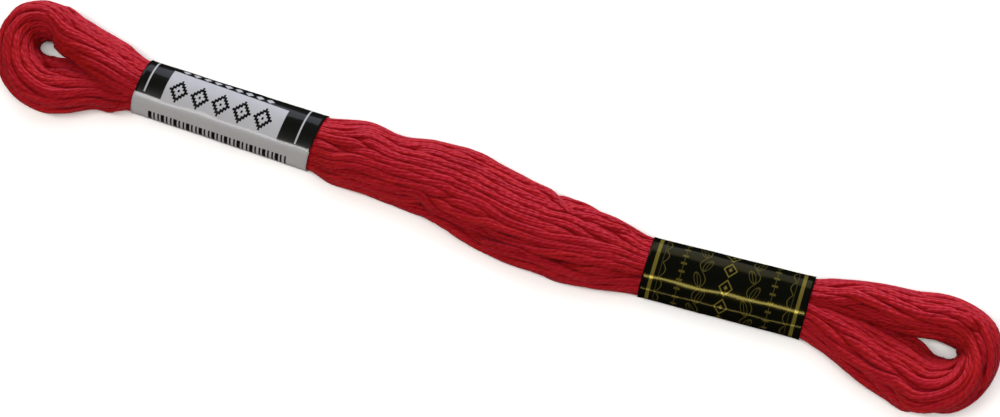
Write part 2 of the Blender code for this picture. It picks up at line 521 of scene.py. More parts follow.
@dataclass(frozen=True)
class FlossFinish:
    """Dyed, mercerised cotton: each ply is two fine yarns twisted together, with a soft sheen.

    Attributes:
        dark_dye_and_groove_shade: Its colour where the dye is darkest, which also serves as the painted
            shade in the thin grooves between the yarns.
        warm: Its colour where the dye leans to scarlet.
        rosy: Its colour where the dye leans to rose.
        painted_hollow_shade: The painted shade that darkens the floss where other floss is near, as between
            two turns.
        painted_shade_reach: How near other floss counts for that painted shade, in millimetres.
        painted_shade_samples: How many directions are looked in for it.
        painted_shade_range: How the unshaded share is made from the occlusion: a factor and a start.
        gloss_tint: The colour of its gloss.
        gloss: How strong its gloss is.
        sheen_tint: The colour of its fuzz.
        sheen: How strong its fuzz is.
        sheen_roughness: How rough its fuzz is.
        smoothest: How rough its surface is between streaks.
        roughest: How rough its surface is on a streak.
        yarn_pitch: How long a turn of a ply's two yarns is, in millimetres.
        slow_reach: How long a slow change of the dye is, in millimetres.
        slow_shift: How far apart two plies read that change.
        streak_scale: How fine the streaks are along a ply, and round it.
        streak_range: How noise is made a streak's strength: a factor and a start.
        fibre_scale: How fine the fibres are along a ply, and round it.
        own_share: How much a ply's own shade tells in the tone.
        slow_share: How much the slow change tells.
        streak_share: How much the streaks tell.
        groove_shade_share: How much the yarns' ridges tell in the tone: painted shade in the grooves between
            them.
        tone_loss: What is taken off the tone.
        rosy_scale: How fine the change from scarlet to rose is.
        rosy_range: How noise is made a share of rose: a factor and a start.
        relief: How high the yarns and the fibres stand, in millimetres.
        ridge_relief: How high the ridges and the streaks stand beside the fibres.
    """

    dark_dye_and_groove_shade: Colour = (0.180, 0.003, 0.002)
    warm: Colour = (0.360, 0.014, 0.0055)
    rosy: Colour = (0.370, 0.0115, 0.0125)
    painted_hollow_shade: Colour = (0.265, 0.004, 0.004)
    painted_shade_reach: float = 2.5
    painted_shade_samples: int = 8
    painted_shade_range: tuple[float, float] = (1.5, -0.05)
    gloss_tint: Colour = (1.0, 0.04, 0.39)
    gloss: float = 0.26
    sheen_tint: Colour = (0.9, 0.22, 0.50)
    sheen: float = 0.09
    sheen_roughness: float = 0.35
    smoothest: float = 0.37
    roughest: float = 0.57
    yarn_pitch: float = 1.3
    slow_reach: float = 11.0
    slow_shift: float = 7.3
    streak_scale: tuple[float, float] = (0.55, 4.0)
    streak_range: tuple[float, float] = (2.6, -0.8)
    fibre_scale: tuple[float, float] = (2.0, 14.0)
    own_share: float = 0.25
    slow_share: float = 0.60
    streak_share: float = 0.40
    groove_shade_share: float = 0.12
    tone_loss: float = 0.16
    rosy_scale: float = 1.3
    rosy_range: tuple[float, float] = (2.2, -0.6)
    relief: float = 0.08
    ridge_relief: float = 0.3

    def material(self) -> bpy.types.Material:
        """Builds the floss's material, which reads the lay map: millimetres along, and once round.

        Returns:
            The material.
        """
        made, graph, shader = new_material("floss_cotton")
        along, around = graph.map_axes("lay_map")
        ply = graph.math("FLOOR", graph.ratio(along, PLY_SHIFT))
        own = graph.node("ShaderNodeTexWhiteNoise", {"Vector": graph.vector(ply, 0.5)}).outputs["Value"]
        slow_at = graph.vector(graph.ratio(along, self.slow_reach), graph.product(ply, self.slow_shift))
        slow = graph.noise(slow_at)
        streak_at, fibre_at = (
            graph.vector(graph.product(along, scale[0]), graph.product(around, scale[1]), ply)
            for scale in (self.streak_scale, self.fibre_scale)
        )
        streaks = graph.scaled(graph.noise(streak_at, 1.0, 3.0), *self.streak_range)
        turned = graph.total(graph.ratio(along, self.yarn_pitch), graph.product(around, 2.0))
        ridge = graph.math("SINE", graph.product(turned, math.tau))
        # The tone mixes random changes of the dye with painted shade: the yarns' ridge term darkens the
        # colour in the grooves between the yarns.
        tone = graph.total(
            graph.product(own, self.own_share),
            graph.product(slow, self.slow_share),
            graph.product(streaks, self.streak_share),
            graph.product(ridge, self.groove_shade_share),
        )
        tone = graph.math("SUBTRACT", tone, self.tone_loss, clamp=True)
        rosiness = graph.noise(graph.vector(slow, ply, streaks), self.rosy_scale)
        dye = graph.mix(graph.scaled(rosiness, *self.rosy_range), self.warm, self.rosy)
        colour = graph.mix(tone, self.dark_dye_and_groove_shade, dye)
        # Painted shade: ambient occlusion mixes the dye towards a darker red where other floss is near,
        # between turns and inside the eyes.
        reach = {"Distance": self.painted_shade_reach * MM}
        shade_occlusion = graph.node("ShaderNodeAmbientOcclusion", reach, samples=self.painted_shade_samples)
        unshaded_share = graph.scaled(shade_occlusion.outputs["AO"], *self.painted_shade_range)
        colour = graph.mix(unshaded_share, self.painted_hollow_shade, colour)
        raised = graph.product(graph.total(ridge, streaks), self.ridge_relief)
        height = graph.total(graph.noise(fibre_at), raised)
        finish = {
            "Base Color": colour,
            "Normal": graph.bump(height, self.relief),
            "Roughness": graph.blend(streaks, self.smoothest, self.roughest),
            "Specular IOR Level": self.gloss,
            "Specular Tint": self.gloss_tint,
            "Sheen Weight": self.sheen,
            "Sheen Roughness": self.sheen_roughness,
            "Sheen Tint": self.sheen_tint,
        }
        graph.feed(shader, finish)
        return made


@dataclass(frozen=True)
class Sheet:
    """The nodes of one paper's material, and what its print reads.

    Attributes:
        graph: A hand for the material's nodes.
        groups: The node groups that the papers share.
        along: Millimetres along the skein from the band's start.
        around: Millimetres round from the top, towards the near side.
        tone: How the paper's colour wavers, from 0 to 1.
    """

    graph: Graph
    groups: PrintGroups
    along: Socket
    around: Socket
    tone: Socket

    def stripe(self, value: Socket, centre: float, half: float, soft: float = 0.08) -> Socket:
        """The mask of a stripe across a coordinate.

        Args:
            value: The coordinate.
            centre: The stripe's middle.
            half: Half its width.
            soft: How wide its soft edge is.

        Returns:
            The mask's socket.
        """
        inputs = {"Value": value, "Centre": centre, "Half Width": half, "Softness": soft}
        return self.graph.node("ShaderNodeGroup", inputs, node_tree=self.groups.stripe).outputs["Mask"]

    def between(self, value: Socket, low: float, high: float, soft: float = 0.08) -> Socket:
        """The mask of a stripe from one value of a coordinate to another."""
        return self.stripe(value, (low + high) / 2, (high - low) / 2, soft)

    def sunk(self, skew: float, start: float = 0.0) -> Socket:
        """The way round, measured from a line that sinks from a start by a skew along the skein."""
        graph = self.graph
        return graph.less(self.around, graph.product(graph.less(self.along, start), skew))


class Print(NamedTuple):
    """What a print gives its paper: its colour, how much lacquer it holds, and how metallic it is."""

    colour: Socket
    coat: Value
    metal: Value


@dataclass(frozen=True)
class PrintedPaper:
    """Thin paper, printed and lacquered: what the two papers share.

    Attributes:
        groups: The node groups that the papers share.
        name: The material's name.
        roughness: How rough the print is under its lacquer.
        gloss: How strong the gloss under the lacquer is.
        gloss_tint: The colour of that gloss.
        coat: How much lacquer the ink holds.
        coat_roughness: How rough the lacquer is.
        relief: How high the paper's grain and dents stand, in millimetres.
    """

    groups: PrintGroups
    name: str
    roughness: float
    gloss: float
    gloss_tint: Colour
    coat: float
    coat_roughness: float
    relief: float = 0.015

    def inks(self, sheet: Sheet) -> Print:
        """Lays out the print, which each paper has of its own."""
        raise NotImplementedError

    def material(self) -> bpy.types.Material:
        """Builds the paper's material, which reads the print map: millimetres along and round.

        Returns:
            The material.
        """
        made, graph, shader = new_material(self.name)
        along, around = graph.map_axes("print_map")
        surface = {"Along": along, "Round": around}
        paper = graph.node("ShaderNodeGroup", surface, node_tree=self.groups.paper)
        printed = self.inks(Sheet(graph, self.groups, along, around, paper.outputs["Tone"]))
        finish = {
            "Base Color": printed.colour,
            "Normal": graph.bump(paper.outputs["Height"], self.relief),
            "Metallic": printed.metal,
            "Roughness": self.roughness,
            "Specular IOR Level": self.gloss,
            "Specular Tint": self.gloss_tint,
            "Coat Weight": printed.coat,
            "Coat Roughness": self.coat_roughness,
        }
        graph.feed(shader, finish)
        return made


class Motif:
    """A printed ornament. Its lengths are in millimetres along the band, and round from its top."""

    def mask(self, sheet: Sheet) -> Socket:
        """Lays the ornament out as a mask, which each kind does in its own way."""
        raise NotImplementedError


@dataclass(frozen=True)
class SteppedLozenges(Motif):
    """A row of stepped lozenges with open hearts, as on a stitcher's chart.

    Attributes:
        start: Where the row starts along the band.
        pitch: How far apart the lozenges stand.
        count: How many there are.
        level: Where their middles lie.
        cell: The width and the height of one step.
        middle: How many steps out the filled middle ends.
        rim: How many steps out the filled rim starts and ends.
        soft: How wide the soft ends of the row are.
    """

    start: float = 5.15
    pitch: float = 3.75
    count: int = 5
    level: float = 0.3
    cell: tuple[float, float] = (0.36, 0.47)
    middle: float = 0.5
    rim: tuple[float, float] = (2.5, 4.5)
    soft: float = 0.04

    def mask(self, sheet: Sheet) -> Socket:
        """Lays out the row.

        Args:
            sheet: The material's nodes and coordinates.

        Returns:
            The mask's socket.
        """
        graph = sheet.graph
        from_start = graph.less(sheet.along, self.start)
        across = graph.repeated(from_start, self.pitch)
        up = graph.size(graph.less(sheet.around, self.level))
        steps = [
            graph.math("FLOOR", graph.total(graph.ratio(away, cell), 0.5))
            for away, cell in zip((across, up), self.cell)
        ]
        ring = graph.total(*steps)
        middle = graph.math("LESS_THAN", ring, self.middle)
        past, short = self.rim
        rim = graph.product(graph.math("GREATER_THAN", ring, past), graph.math("LESS_THAN", ring, short))
        filled = graph.most(middle, rim)
        return graph.product(filled, sheet.between(from_start, 0.0, self.count * self.pitch, self.soft))


@dataclass(frozen=True)
class Ticks(Motif):
    """A measuring edge: a row of even ticks, some of them broad.

    Attributes:
        pitch: How far apart the ticks stand.
        fine: Half a tick's width and its soft edge, as shares of the pitch.
        broad_every: How many ticks there are to a broad one.
        broad: Half a broad tick's width and its soft edge, as shares of the way to the next.
        height: Where the ticks start and end, round from the top of the band.
        run: Where their row starts and ends.
    """

    pitch: float = 0.76
    fine: tuple[float, float] = (0.21, 0.1)
    broad_every: float = 3.0
    broad: tuple[float, float] = (0.14, 0.03)
    height: tuple[float, float] = (5.2, 7.4)
    run: tuple[float, float] = (2.85, 28.05)

    def mask(self, sheet: Sheet) -> Socket:
        """Lays out the row.

        Args:
            sheet: The material's nodes and coordinates.

        Returns:
            The mask's socket.
        """
        graph = sheet.graph
        share = graph.ratio(sheet.along, self.pitch)
        fine = sheet.stripe(graph.math("FRACT", share), 0.5, *self.fine)
        broad = sheet.stripe(graph.math("FRACT", graph.ratio(share, self.broad_every)), 0.5, *self.broad)
        height = sheet.between(sheet.around, *self.height)
        return graph.product(graph.most(fine, broad), height, sheet.between(sheet.along, *self.run))


@dataclass(frozen=True)
class SmallLozenges(Motif):
    """A row of small filled lozenges along a line that sinks a little.

    Attributes:
        pitch: How far apart they stand.
        level: Where their middles lie.
        half: Half their width.
        slant: Their width over their height.
        skew: How far the line sinks for each millimetre along.
        skew_start: Where along the band it starts to sink.
        run: Where the row starts and ends.
        soft: How wide the soft ends of the row are.
    """

    pitch: float = 1.9
    level: float = -4.45
    half: float = 0.75
    slant: float = 1.3
    skew: float = 0.045
    skew_start: float = 4.65
    run: tuple[float, float] = (5.7, 22.8)
    soft: float = 0.01

    def mask(self, sheet: Sheet) -> Socket:
        """Lays out the row.

        Args:
            sheet: The material's nodes and coordinates.

        Returns:
            The mask's socket.
        """
        graph = sheet.graph
        across = graph.repeated(sheet.along, self.pitch)
        up = graph.size(graph.less(sheet.sunk(self.skew, self.skew_start), self.level))
        away = graph.total(across, graph.product(up, self.slant))
        row = sheet.between(sheet.along, *self.run, self.soft)
        return graph.product(sheet.stripe(away, 0.0, self.half), row)


@dataclass(frozen=True)
class NumberPaper(PrintedPaper):
    """White paper with black blocks at its ends, a black strip along its top and a row of lozenges.

    Attributes:
        bare_coat: How much lacquer the white paper holds.
        dull_white: The white where it is dullest.
        clear_white: The white where it is clearest.
        black: The ink.
        panel: Where the white panel between the blocks starts and ends along the band.
        panel_height: Where it starts and ends, round from the top of the band.
        panel_skew: How far its top edge sinks for each millimetre along.
        block_height: Where the blocks start and end, round from the top of the band.
        block_skew: How far their foot sinks for each millimetre along.
        rim_lines: Where the thin white lines cross the blocks.
        rim_line_half: Half their width.
        rim_line_height: Where they start and end, round from the top of the band.
        lozenges: The row on the panel.
        ticks: The row below the blocks.
        strip_lozenges: The white row on the black strip.
    """

    name: str = "number_print"
    roughness: float = 0.34
    gloss: float = 0.08
    gloss_tint: Colour = (1.0, 1.0, 1.0)
    coat: float = 0.75
    coat_roughness: float = 0.11
    bare_coat: float = 0.25
    dull_white: Colour = (0.270, 0.262, 0.257)
    clear_white: Colour = (0.304, 0.299, 0.305)
    black: Colour = (0.004, 0.004, 0.003)
    panel: tuple[float, float] = (4.65, 25.5)
    panel_height: tuple[float, float] = (-3.7, 36.3)
    panel_skew: float = 0.045
    block_height: tuple[float, float] = (-9.45, 2.55)
    block_skew: float = 0.018
    rim_lines: tuple[float, float] = (1.55, 28.7)
    rim_line_half: float = 0.14
    rim_line_height: tuple[float, float] = (-7.85, 2.15)
    lozenges: Motif = SteppedLozenges()
    ticks: Motif = Ticks()
    strip_lozenges: Motif = SmallLozenges()

    def inks(self, sheet: Sheet) -> Print:
        """Lays out the black of the blocks, the strip, the lozenges and the ticks on the white.

        Args:
            sheet: The material's nodes and coordinates.

        Returns:
            The print.
        """
        graph = sheet.graph
        panel = graph.product(
            sheet.between(sheet.along, *self.panel),
            sheet.between(sheet.sunk(self.panel_skew, self.panel[0]), *self.panel_height),
        )
        from_foot = sheet.sunk(self.block_skew)
        ink = graph.product(sheet.between(from_foot, *self.block_height), graph.rest(panel))
        line_height = sheet.between(from_foot, *self.rim_line_height)
        for place in self.rim_lines:
            line = graph.product(sheet.stripe(sheet.along, place, self.rim_line_half), line_height)
            ink = graph.product(ink, graph.rest(line))
        ink = graph.most(ink, graph.product(self.lozenges.mask(sheet), panel), self.ticks.mask(sheet))
        ink = graph.product(ink, graph.rest(self.strip_lozenges.mask(sheet)))
        white = graph.mix(sheet.tone, self.dull_white, self.clear_white)
        coat = graph.blend(ink, self.bare_coat, self.coat)
        return Print(graph.mix(ink, white, self.black), coat, 0.0)


@dataclass(frozen=True)
class Ring(Motif):
    """A plain ring round the band.

    Attributes:
        place: Where it lies along the band.
        half: Half its width.
    """

    place: float
    half: float = 0.3

    def mask(self, sheet: Sheet) -> Socket:
        """Lays out the ring."""
        return sheet.stripe(sheet.along, self.place, self.half)


@dataclass(frozen=True)
class LozengeChain(Motif):
    """A chain of open lozenges round the band, each with a filled heart.

    Attributes:
        place: Where it lies along the band.
        pitch: How far apart the lozenges stand round the band.
        slant: Their height over their width.
        ring: How far out the middle of their outline lies, measured round the band.
        ring_half: Half the outline's width.
        heart: Half the heart's height.
    """

    place: float
    pitch: float = 3.3
    slant: float = 1.25
    ring: float = 1.35
    ring_half: float = 0.16
    heart: float = 0.42

    def mask(self, sheet: Sheet) -> Socket:
        """Lays out the chain.

        Args:
            sheet: The material's nodes and coordinates.

        Returns:
            The mask's socket.
        """
        graph = sheet.graph
        across = graph.size(graph.less(sheet.along, self.place))
        away = graph.total(graph.product(across, self.slant), graph.repeated(sheet.around, self.pitch))
        return graph.most(sheet.stripe(away, self.ring, self.ring_half), sheet.stripe(away, 0.0, self.heart))


@dataclass(frozen=True)
class ScallopedLine(Motif):
    """A thin scalloped line beside a fainter straight one.

    Attributes:
        place: Where the scallops' feet lie along the band.
        sign: 1 where they bulge along the band, and -1 where they bulge against it.
        pitch: How long a scallop is round the band.
        reach: How far it bulges.
        half: Half the scalloped line's width.
        soft: How wide its soft edge is.
        thread_gap: How far from the feet the straight line lies.
        thread_half: Half the straight line's width.
        thread_ink: How strong its ink is.
    """

    place: float
    sign: float
    pitch: float = 2.6
    reach: float = 0.7
    half: float = 0.075
    soft: float = 0.1
    thread_gap: float = 0.15
    thread_half: float = 0.05
    thread_ink: float = 0.6

    def mask(self, sheet: Sheet) -> Socket:
        """Lays out the two lines.

        Args:
            sheet: The material's nodes and coordinates.

        Returns:
            The mask's socket.
        """
        graph = sheet.graph
        wave = graph.size(graph.math("SINE", graph.product(sheet.around, math.pi / self.pitch)))
        bent = graph.less(sheet.along, graph.product(wave, self.reach * self.sign))
        line = sheet.stripe(bent, self.place, self.half, self.soft)
        thread = sheet.stripe(sheet.along, self.place - self.thread_gap * self.sign, self.thread_half)
        return graph.most(line, graph.product(thread, self.thread_ink))


@dataclass(frozen=True)
class Vine(Motif):
    """A vine that climbs round the band, with a leaf in each bend.

    Attributes:
        place: Where it lies along the band.
        sign: 1 for a vine, and -1 for its mirror image.
        pitch: How far it climbs in one sway.
        sway: How far it sways to each side.
        half: Half the width of the stem.
        soft: How wide the soft edges of the stem and of the leaves' outlines are.
        leaf_gap: How far a leaf's middle lies from the vine's.
        leaf_slant: How far a leaf leans for each millimetre up.
        leaf_size: Half a leaf's width and half its height.
        outline: Where a leaf's outline lies, as a share of its size.
        outline_half: Half the outline's width, as a share of the leaf's size.
        vein_half: Half the width of a leaf's vein.
        vein_reach: How far out the vein runs, as a share of the leaf's size.
    """

    place: float
    sign: float
    pitch: float = 5.6
    sway: float = 0.75
    half: float = 0.07
    soft: float = 0.1
    leaf_gap: float = 0.55
    leaf_slant: float = 0.35
    leaf_size: tuple[float, float] = (0.62, 1.25)
    outline: float = 0.92
    outline_half: float = 0.07
    vein_half: float = 0.04
    vein_reach: float = 0.8

    def mask(self, sheet: Sheet) -> Socket:
        """Lays out the vine.

        Args:
            sheet: The material's nodes and coordinates.

        Returns:
            The mask's socket.
        """
        graph = sheet.graph
        from_place = graph.less(sheet.along, self.place)
        climb = graph.ratio(sheet.around, self.pitch)
        sway = graph.product(graph.math("SINE", graph.product(climb, math.tau)), self.sway * self.sign)
        parts = [sheet.stripe(graph.less(from_place, sway), 0.0, self.half, self.soft)]
        for offset, side in ((0.25, -self.sign), (0.75, self.sign)):
            share = graph.math("FRACT", graph.total(climb, 0.5 - offset))
            up = graph.product(graph.less(share, 0.5), self.pitch)
            across = graph.less(from_place, self.leaf_gap * side)
            slanted = graph.total(across, graph.product(up, self.leaf_slant * side))
            squares = [
                graph.math("POWER", graph.ratio(away, size), 2.0)
                for away, size in zip((slanted, up), self.leaf_size)
            ]
            reach = graph.math("SQRT", graph.total(*squares))
            vein = sheet.stripe(slanted, 0.0, self.vein_half)
            parts.append(graph.product(vein, sheet.stripe(reach, 0.0, self.vein_reach)))
            parts.append(sheet.stripe(reach, self.outline, self.outline_half, self.soft))
        return graph.most(*parts)


@dataclass(frozen=True)
class BarColumn(Motif):
    """A column of short bars on a thin, fainter spine.

    Attributes:
        place: Where it lies along the band.
        pitch: How far apart the bars stand.
        bar: Half a bar's height and its soft edge, as shares of the pitch.
        reach: Half a bar's width.
        spine_half: Half the spine's width.
        spine_ink: How strong its ink is.
    """

    place: float
    pitch: float = 1.5
    bar: tuple[float, float] = (0.13, 0.06)
    reach: float = 0.5
    spine_half: float = 0.06
    spine_ink: float = 0.7

    def mask(self, sheet: Sheet) -> Socket:
        """Lays out the column.

        Args:
            sheet: The material's nodes and coordinates.

        Returns:
            The mask's socket.
        """
        graph = sheet.graph
        share = graph.math("FRACT", graph.ratio(sheet.around, self.pitch))
        bars = sheet.stripe(share, 0.5, *self.bar)
        bars = graph.product(bars, sheet.stripe(sheet.along, self.place, self.reach))
        spine = sheet.stripe(sheet.along, self.place, self.spine_half)
        return graph.most(bars, graph.product(spine, self.spine_ink))


@dataclass(frozen=True)
class MakersPaper(PrintedPaper):
    """Black paper with gold rings at its ends, scalloped lines, vines and a chain of lozenges.

    Attributes:
        black: The ground.
        gold: The ink.
        fine_ink: How strong the gold of the fine ornament is beside that of the bold.
        worn_ink: How strong the ink is where it is most worn.
        metal: How metallic the gold is.
        bold: The bold ornament.
        fine: The fine ornament.
    """

    name: str = "makers_print"
    roughness: float = 0.12
    gloss: float = 0.24
    gloss_tint: Colour = (1.0, 0.82, 0.14)
    coat: float = 0.05
    coat_roughness: float = 0.10
    black: Colour = (0.0022, 0.0024, 0.0015)
    gold: Colour = (0.135, 0.105, 0.018)
    fine_ink: float = 0.48
    worn_ink: float = 0.75
    metal: float = 0.35
    bold: tuple[Motif, ...] = (Ring(1.5), Ring(25.9), LozengeChain(13.725))
    fine: tuple[Motif, ...] = (
        ScallopedLine(2.7, 1.0),
        ScallopedLine(24.7, -1.0),
        Vine(9.425, 1.0),
        Vine(18.025, -1.0),
        BarColumn(6.025),
        BarColumn(21.425),
    )

    def inks(self, sheet: Sheet) -> Print:
        """Lays out the gold: the bold rings and chain, and the fine ornament between them.

        Args:
            sheet: The material's nodes and coordinates.

        Returns:
            The print.
        """
        graph = sheet.graph
        bold, fine = (
            graph.most(*(motif.mask(sheet) for motif in motifs)) for motifs in (self.bold, self.fine)
        )
        ink = graph.most(bold, graph.product(fine, self.fine_ink))
        ink = graph.product(ink, graph.blend(sheet.tone, self.worn_ink, 1.0))
        return Print(graph.mix(ink, self.black, self.gold), self.coat, graph.product(ink, self.metal))


@dataclass(frozen=True)
class BarePaper:
    """The bare inside of the paper, with its pulp's faint mottle.

    Attributes:
        dark: Its colour where it is darkest.
        light: Its colour where it is lightest.
        grain: How fine the mottle is, for each metre.
        roughness: How rough it is.
    """

    dark: Colour = (0.50, 0.48, 0.45)
    light: Colour = (0.62, 0.61, 0.59)
    grain: float = 2500.0
    roughness: float = 0.8

    def material(self) -> bpy.types.Material:
        """Builds the bare paper's material.

        Returns:
            The material.
        """
        made, graph, shader = new_material("bare_paper")
        place = graph.node("ShaderNodeTexCoord", {}).outputs["Object"]
        colour = graph.mix(graph.noise(place, self.grain, 3.0), self.dark, self.light)
        graph.feed(shader, {"Base Color": colour, "Roughness": self.roughness})
        return made


# ---------------------------------------------------------------------------------------------
# The floss


@dataclass
class Stations:
    """The planes across the hank in which its turns are laid, a row for each, round the whole ring.

    Attributes:
        origin: The middle of this half of the hank in plan.
        out: The level direction in the plane, away from the ring's inside.
        half_width: Half the width of this half of the hank.
        low: Its lowest height.
        high: Its highest height.
        lean: How far its top leans outwards for each unit of height.
        roll: How far the floss has turned over, in radians.
        thread: The width of the floss where it lies against its neighbours.
        share: How far round the ring the plane is, in radians, as a column.
        far: The rows on the far half, in the order of those in near that share their planes.
        near: The rows on the near half.
        body: A row of (y, half width, low, high, share) for each shared plane: the outline that
            holds both halves together, and how far it holds them.
    """

    origin: np.ndarray
    out: np.ndarray
    half_width: np.ndarray
    low: np.ndarray
    high: np.ndarray
    lean: np.ndarray
    roll: np.ndarray
    thread: np.ndarray
    share: np.ndarray
    far: np.ndarray
    near: np.ndarray
    body: np.ndarray


@dataclass
class Lay:
    """How a set of threads is pushed apart: its sizes at each plane, and how it is worked.

    Attributes:
        contact: How close the middles of two threads may come.
        radius: How far a thread's middle stays from the hank's outline.
        rounds: How many times the threads are pushed apart.
        pull: How much of its way back to its goal a thread goes each time.
        passes: How many times each round's moves are averaged along the ring.
        ties: How much of the contact each pair of threads keeps, threads by threads.
    """

    contact: np.ndarray
    radius: np.ndarray
    rounds: int
    pull: float
    passes: int
    ties: np.ndarray


@dataclass
class FlossHank:
    """The wound floss: its turns, how they are laid, and their meshes.

    Attributes:
        turns: How many turns of floss there are.
        plies: How many plies each turn opens into.
        step: How far apart the planes across the hank are.
        eye_left: The point round which the planes fan out at the narrow eye.
        eye_right: The same at the wide eye.
        fan: How many planes fan out round each eye.
        row_step: How far apart the sections read from the layout tables are.
        body_start: Where along X the hank's body begins to hold both halves, and holds them fully.
        body_end: Where it begins to let go of them, and has let go.
        stack_end: Where the far half begins to come down off the near half, and lies beside it.
        stack_lean: How far the far half leans outwards where the halves lie on each other. The near
            half leans the other way by as much, so both lean to the near side.
        offset: How far out a half's middle lies in the body, as a share of the body's half width:
            beside the other half, and what is added where they lie on each other.
        breadth: Half a half's width as a share of the body's: beside the other, and what is added.
        stack_rise: How much of the body's height each half leaves free where one lies on the other.
        steepest: How much wider a strand may be cut where it slants across the planes.
        fan_slack: How far before a fan's start a section may lie, in radians.
        packing: The share of the hank's section that the floss fills.
        widest: How wide a turn may be where the hank is loose.
        squash: The width of a settled turn beside that of a loose one.
        roll_passes: How many times the turning over is averaged along the ring.
        thread_passes: How many times the turns' width is averaged along it.
        wander: How far a turn wanders in the section, as a share of the hank.
        waves: How many waves a turn wanders in, all the way round.
        seed: The start of the random draws.
        fill: How far out the turns start, as a share of the room.
        chunk: How many planes are worked out at once.
        give: How much of their overlap each of two threads clears each time.
        least_room: The least room that a thread keeps to each side, in millimetres.
        last_rounds: How many rounds at the end are averaged only once.
        ply_share: The width of a ply beside that of its turn.
        kinship: How much closer a turn's own plies lie than other plies.
        ply_contact: How close the middles of two plies may come, as a share of their width.
        lay_pitch: How far along its turn a ply twists once round.
        ply_out: How far out in its turn a ply lies, as a share of the turn's half width.
        lay_waves: How often each wavering of the plies repeats round the hank.
        own_sway: How far each ply wavers in its twist, in radians.
        shared_sway: How far a turn's plies waver together.
        breath: How far a ply wavers outwards.
        thick_waves: How often each change of a ply's thickness repeats round the hank.
        thick_wave: How large each change is, as a share of the thickness.
        sides: How many sides a ply's tube has.
        groups: How many pieces the turns are shared out among.
    """

    turns: int = 24
    plies: int = 6
    step: float = 0.85
    eye_left: tuple[float, float] = (-79.0, 6.5)
    eye_right: tuple[float, float] = (78.5, -2.4)
    fan: int = 28
    row_step: float = 0.5
    body_start: tuple[float, float] = (-67.0, -61.5)
    body_end: tuple[float, float] = (54.5, 60.5)
    stack_end: tuple[float, float] = (-58.0, -20.0)
    stack_lean: float = -0.6
    offset: tuple[float, float] = (0.42, -0.27)
    breadth: tuple[float, float] = (0.58, 0.27)
    stack_rise: float = 0.30
    steepest: float = 1.15
    fan_slack: float = 0.5
    packing: float = 0.8
    widest: float = 1.6
    squash: float = 0.84
    roll_passes: int = 16
    thread_passes: int = 15
    wander: float = 0.14
    waves: int = 22
    seed: int = 7
    fill: float = 0.95
    chunk: int = 8
    give: float = 0.4
    least_room: float = 0.1
    last_rounds: int = 12
    ply_share: float = 0.46
    kinship: float = 0.66
    ply_contact: float = 0.92
    lay_pitch: float = 27.0
    ply_out: float = 0.54
    lay_waves: tuple[int, ...] = (2, 3, 5, 8, 13)
    own_sway: float = 0.22
    shared_sway: float = 0.30
    breath: float = 0.05
    thick_waves: tuple[int, ...] = (5, 9, 14, 23, 37, 58)
    thick_wave: float = 0.03
    sides: int = 6
    groups: int = 6

    def stations(self) -> Stations:
        """Sets out the planes from the layout tables, in the order in which a turn meets them.

        Returns:
            The planes.
        """
        count = 1 + round((self.eye_right[0] - self.eye_left[0]) / self.step)
        xs = np.linspace(self.eye_left[0], self.eye_right[0], count)
        body_rows, left, right = (smooth_rows(rows, self.row_step) for rows in (BODY, NARROW_EYE, WIDE_EYE))
        body = np.stack([np.interp(xs, body_rows[:, 0], body_rows[:, c]) for c in range(1, 5)], 1)
        in_body = ease(xs, *self.body_start) * (1.0 - ease(xs, *self.body_end))
        stack = 1.0 - ease(xs, *self.stack_end)
        halves = {}
        for half in Half:
            eye = np.where((xs < 0.0)[:, None], self.branch(left, xs, half), self.branch(right, xs, half))
            own = np.column_stack([body, half.value * self.stack_lean * stack])
            own[:, 0] += half.value * (self.offset[0] + self.offset[1] * stack) * body[:, 1]
            own[:, 1] *= self.breadth[0] + self.breadth[1] * stack
            side = 2 if half is Half.FAR else 3
            own[:, side] += half.value * self.stack_rise * stack * (body[:, 3] - body[:, 2])
            halves[half] = eye + in_body[:, None] * (own - eye)
        fan_left, out_left = self.fan_rows(left, self.eye_left, math.pi / 2)
        fan_right, out_right = self.fan_rows(right, self.eye_right, -math.pi / 2)
        far = np.column_stack([xs, halves[Half.FAR]])[::-1]
        near = np.column_stack([xs, halves[Half.NEAR]])
        rows = np.concatenate([far, fan_left, near, fan_right])
        up = np.tile([0.0, 1.0], (count, 1))
        far_roll = np.interp(xs, *np.array(FAR_ROLL).T)[::-1]
        near_roll = np.interp(xs, *np.array(NEAR_ROLL).T)
        degrees = 180.0 * (np.arange(self.fan) + 1) / (self.fan + 1)
        turned_left = np.interp(degrees, *np.array(NARROW_END_ROLL).T)
        turned_right = np.interp(degrees, *np.array(WIDE_END_ROLL).T)
        roll = np.concatenate([far_roll, turned_left, near_roll, turned_right])
        area = math.pi * rows[:, 2] * (rows[:, 4] - rows[:, 3]) / 2
        body_area = math.pi * body[:, 1] * (body[:, 3] - body[:, 2]) / 4
        half_rows = {Half.FAR: np.arange(count)[::-1], Half.NEAR: count + self.fan + np.arange(count)}
        for index in half_rows.values():
            area[index] += in_body * (body_area - area[index])
        thread = np.minimum(np.sqrt(4.0 * self.packing * area / (math.pi * self.turns)), self.widest)
        steps = np.linalg.norm(np.diff(rows[:, :2], axis=0, append=rows[:1, :2]), axis=1)
        share = np.cumsum(steps) / steps.sum() * math.tau
        return Stations(
            origin=rows[:, :2],
            out=np.concatenate([up, out_left, -up, out_right]),
            half_width=rows[:, 2],
            low=rows[:, 3],
            high=rows[:, 4],
            lean=rows[:, 5],
            roll=np.radians(self.smoothed(roll, self.roll_passes)),
            thread=self.smoothed(thread, self.thread_passes),
            share=share[:, None],
            far=half_rows[Half.FAR],
            near=half_rows[Half.NEAR],
            body=np.column_stack([body, in_body]),
        )

